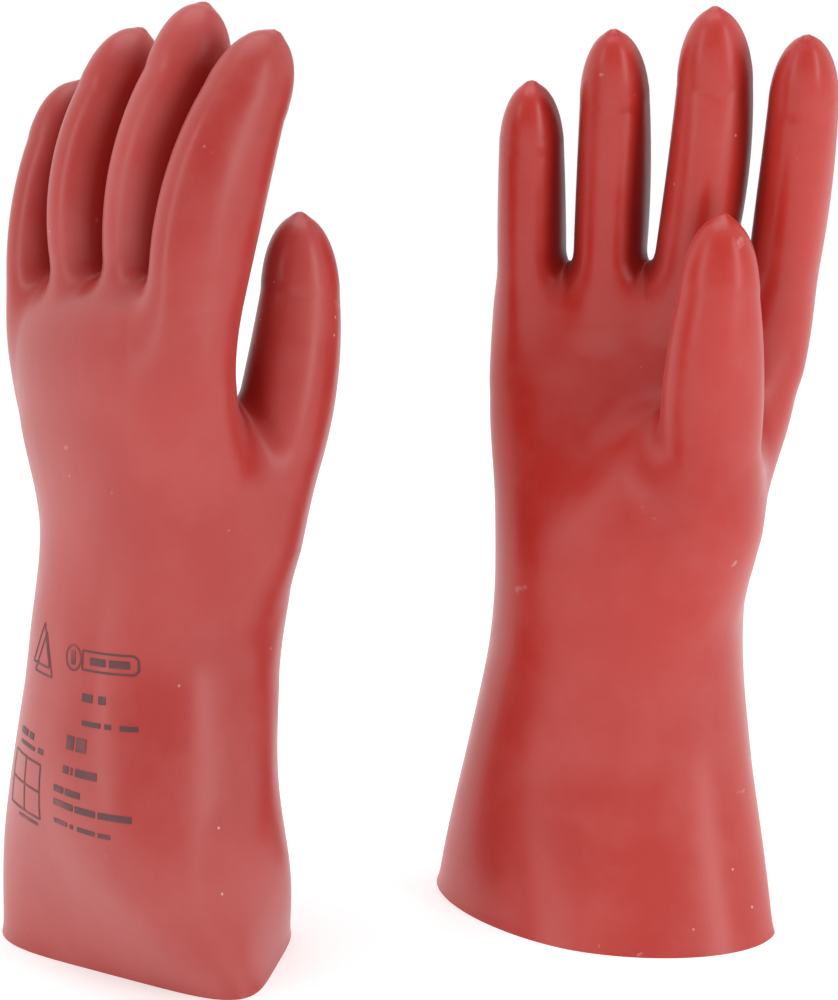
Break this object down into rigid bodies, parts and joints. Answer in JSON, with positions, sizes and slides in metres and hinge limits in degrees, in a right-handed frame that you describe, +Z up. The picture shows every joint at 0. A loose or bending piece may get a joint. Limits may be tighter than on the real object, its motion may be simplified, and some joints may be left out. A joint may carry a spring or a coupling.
{
  "type": "electrical insulating gloves",
  "caption": "Left and right long natural rubber gloves with curved fingers and flared cuffs that insulate a worker's hands from live electrical parts.",
  "frame": {"origin": "below the middle of the pair's bounding box, on the plane of the two cuff rims", "axes": "+Z up from the cuff rims to the fingertips; +X from the left glove to the right glove; -Y toward the side from which the right glove's palm is seen"},
  "size_m": [0.3242, 0.1628, 0.3599],
  "materials": {
    "hand_rubber": "semi-gloss dipped natural rubber",
    "cuff_rubber": "semi-gloss dipped natural rubber with a faint bloom"
  },
  "bodies": {
    "cuffs": {"right_cuff": "cuff_rubber", "left_cuff": "cuff_rubber"},
    "right_palm": {"right_palm": "hand_rubber"},
    "right_index_base": {"right_index_base": "hand_rubber"},
    "right_index_tip": {"right_index_tip": "hand_rubber"},
    "right_middle_base": {"right_middle_base": "hand_rubber"},
    "right_middle_tip": {"right_middle_tip": "hand_rubber"},
    "right_ring_base": {"right_ring_base": "hand_rubber"},
    "right_ring_tip": {"right_ring_tip": "hand_rubber"},
    "right_little_base": {"right_little_base": "hand_rubber"},
    "right_little_tip": {"right_little_tip": "hand_rubber"},
    "right_thumb_base": {"right_thumb_base": "hand_rubber"},
    "right_thumb_tip": {"right_thumb_tip": "hand_rubber"},
    "left_palm": {"left_palm": "hand_rubber"},
    "left_index_base": {"left_index_base": "hand_rubber"},
    "left_index_tip": {"left_index_tip": "hand_rubber"},
    "left_middle_base": {"left_middle_base": "hand_rubber"},
    "left_middle_tip": {"left_middle_tip": "hand_rubber"},
    "left_ring_base": {"left_ring_base": "hand_rubber"},
    "left_ring_tip": {"left_ring_tip": "hand_rubber"},
    "left_little_base": {"left_little_base": "hand_rubber"},
    "left_little_tip": {"left_little_tip": "hand_rubber"},
    "left_thumb_base": {"left_thumb_base": "hand_rubber"},
    "left_thumb_tip": {"left_thumb_tip": "hand_rubber"}
  },
  "joints": [
    {"name": "right_wrist_bend", "type": "hinge", "parent": "cuffs", "child": "right_palm", "pos_m": [0.09019, 0.03869, 0.133], "axis": [0.9613, -0.2756, 0], "range_deg": [-25, 15], "stiffness_Nm_per_rad": 0.8},
    {"name": "right_index_base_bend", "type": "hinge", "parent": "right_palm", "child": "right_index_base", "pos_m": [0.14772, 0.0081, 0.279], "axis": [0.9613, -0.2756, 0], "range_deg": [0, 50], "stiffness_Nm_per_rad": 0.12},
    {"name": "right_index_tip_bend", "type": "hinge", "parent": "right_index_base", "child": "right_index_tip", "pos_m": [0.14797, -0.00581, 0.314], "axis": [0.9613, -0.2756, 0], "range_deg": [0, 60], "stiffness_Nm_per_rad": 0.08},
    {"name": "right_middle_base_bend", "type": "hinge", "parent": "right_palm", "child": "right_middle_base", "pos_m": [0.11492, 0.01564, 0.283], "axis": [0.9613, -0.2756, 0], "range_deg": [0, 50], "stiffness_Nm_per_rad": 0.12},
    {"name": "right_middle_tip_bend", "type": "hinge", "parent": "right_middle_base", "child": "right_middle_tip", "pos_m": [0.11674, 0.00422, 0.321], "axis": [0.9613, -0.2756, 0], "range_deg": [0, 60], "stiffness_Nm_per_rad": 0.08},
    {"name": "right_ring_base_bend", "type": "hinge", "parent": "right_palm", "child": "right_ring_base", "pos_m": [0.0817, 0.0308, 0.282], "axis": [0.9613, -0.2756, 0], "range_deg": [0, 50], "stiffness_Nm_per_rad": 0.12},
    {"name": "right_ring_tip_bend", "type": "hinge", "parent": "right_ring_base", "child": "right_ring_tip", "pos_m": [0.08111, 0.02105, 0.318], "axis": [0.9613, -0.2756, 0], "range_deg": [0, 60], "stiffness_Nm_per_rad": 0.08},
    {"name": "right_little_base_bend", "type": "hinge", "parent": "right_palm", "child": "right_little_base", "pos_m": [0.05097, 0.04034, 0.276], "axis": [0.9613, -0.2756, 0], "range_deg": [0, 50], "stiffness_Nm_per_rad": 0.12},
    {"name": "right_little_tip_bend", "type": "hinge", "parent": "right_little_base", "child": "right_little_tip", "pos_m": [0.05013, 0.03321, 0.304], "axis": [0.9613, -0.2756, 0], "range_deg": [0, 60], "stiffness_Nm_per_rad": 0.08},
    {"name": "right_thumb_base_bend", "type": "hinge", "parent": "right_palm", "child": "right_thumb_base", "pos_m": [0.11568, -0.02604, 0.23], "axis": [0.9613, -0.2756, 0], "range_deg": [0, 35], "stiffness_Nm_per_rad": 0.12},
    {"name": "right_thumb_tip_bend", "type": "hinge", "parent": "right_thumb_base", "child": "right_thumb_tip", "pos_m": [0.11516, -0.03289, 0.256], "axis": [-0.2756, -0.9613, 0], "range_deg": [0, 35], "stiffness_Nm_per_rad": 0.08},
    {"name": "left_wrist_bend", "type": "hinge", "parent": "cuffs", "child": "left_palm", "pos_m": [-0.09542, -0.00636, 0.133], "axis": [-0.6088, 0.7934, 0], "range_deg": [-25, 15], "stiffness_Nm_per_rad": 0.8},
    {"name": "left_index_base_bend", "type": "hinge", "parent": "left_palm", "child": "left_index_base", "pos_m": [-0.06631, -0.06434, 0.279], "axis": [-0.6088, 0.7934, 0], "range_deg": [0, 50], "stiffness_Nm_per_rad": 0.12},
    {"name": "left_index_tip_bend", "type": "hinge", "parent": "left_index_base", "child": "left_index_tip", "pos_m": [-0.05738, -0.06264, 0.314], "axis": [-0.6088, 0.7934, 0], "range_deg": [0, 60], "stiffness_Nm_per_rad": 0.08},
    {"name": "left_middle_base_bend", "type": "hinge", "parent": "left_palm", "child": "left_middle_base", "pos_m": [-0.08582, -0.03695, 0.283], "axis": [-0.6088, 0.7934, 0], "range_deg": [0, 50], "stiffness_Nm_per_rad": 0.12},
    {"name": "left_middle_tip_bend", "type": "hinge", "parent": "left_middle_base", "child": "left_middle_tip", "pos_m": [-0.07899, -0.03788, 0.321], "axis": [-0.6088, 0.7934, 0], "range_deg": [0, 60], "stiffness_Nm_per_rad": 0.08},
    {"name": "left_ring_base_bend", "type": "hinge", "parent": "left_palm", "child": "left_ring_base", "pos_m": [-0.11198, -0.01151, 0.282], "axis": [-0.6088, 0.7934, 0], "range_deg": [0, 50], "stiffness_Nm_per_rad": 0.12},
    {"name": "left_ring_tip_bend", "type": "hinge", "parent": "left_ring_base", "child": "left_ring_tip", "pos_m": [-0.10735, -0.01063, 0.318], "axis": [-0.6088, 0.7934, 0], "range_deg": [0, 60], "stiffness_Nm_per_rad": 0.08},
    {"name": "left_little_base_bend", "type": "hinge", "parent": "left_palm", "child": "left_little_base", "pos_m": [-0.13141, 0.01413, 0.276], "axis": [-0.6088, 0.7934, 0], "range_deg": [0, 50], "stiffness_Nm_per_rad": 0.12},
    {"name": "left_little_tip_bend", "type": "hinge", "parent": "left_little_base", "child": "left_little_tip", "pos_m": [-0.12837, 0.015, 0.304], "axis": [-0.6088, 0.7934, 0], "range_deg": [0, 60], "stiffness_Nm_per_rad": 0.08},
    {"name": "left_thumb_base_bend", "type": "hinge", "parent": "left_palm", "child": "left_thumb_base", "pos_m": [-0.04053, -0.01761, 0.23], "axis": [-0.6088, 0.7934, 0], "range_deg": [0, 35], "stiffness_Nm_per_rad": 0.12},
    {"name": "left_thumb_tip_bend", "type": "hinge", "parent": "left_thumb_base", "child": "left_thumb_tip", "pos_m": [-0.0374, -0.01696, 0.256], "axis": [-0.7934, -0.6088, 0], "range_deg": [0, 35], "stiffness_Nm_per_rad": 0.08}
  ]
}
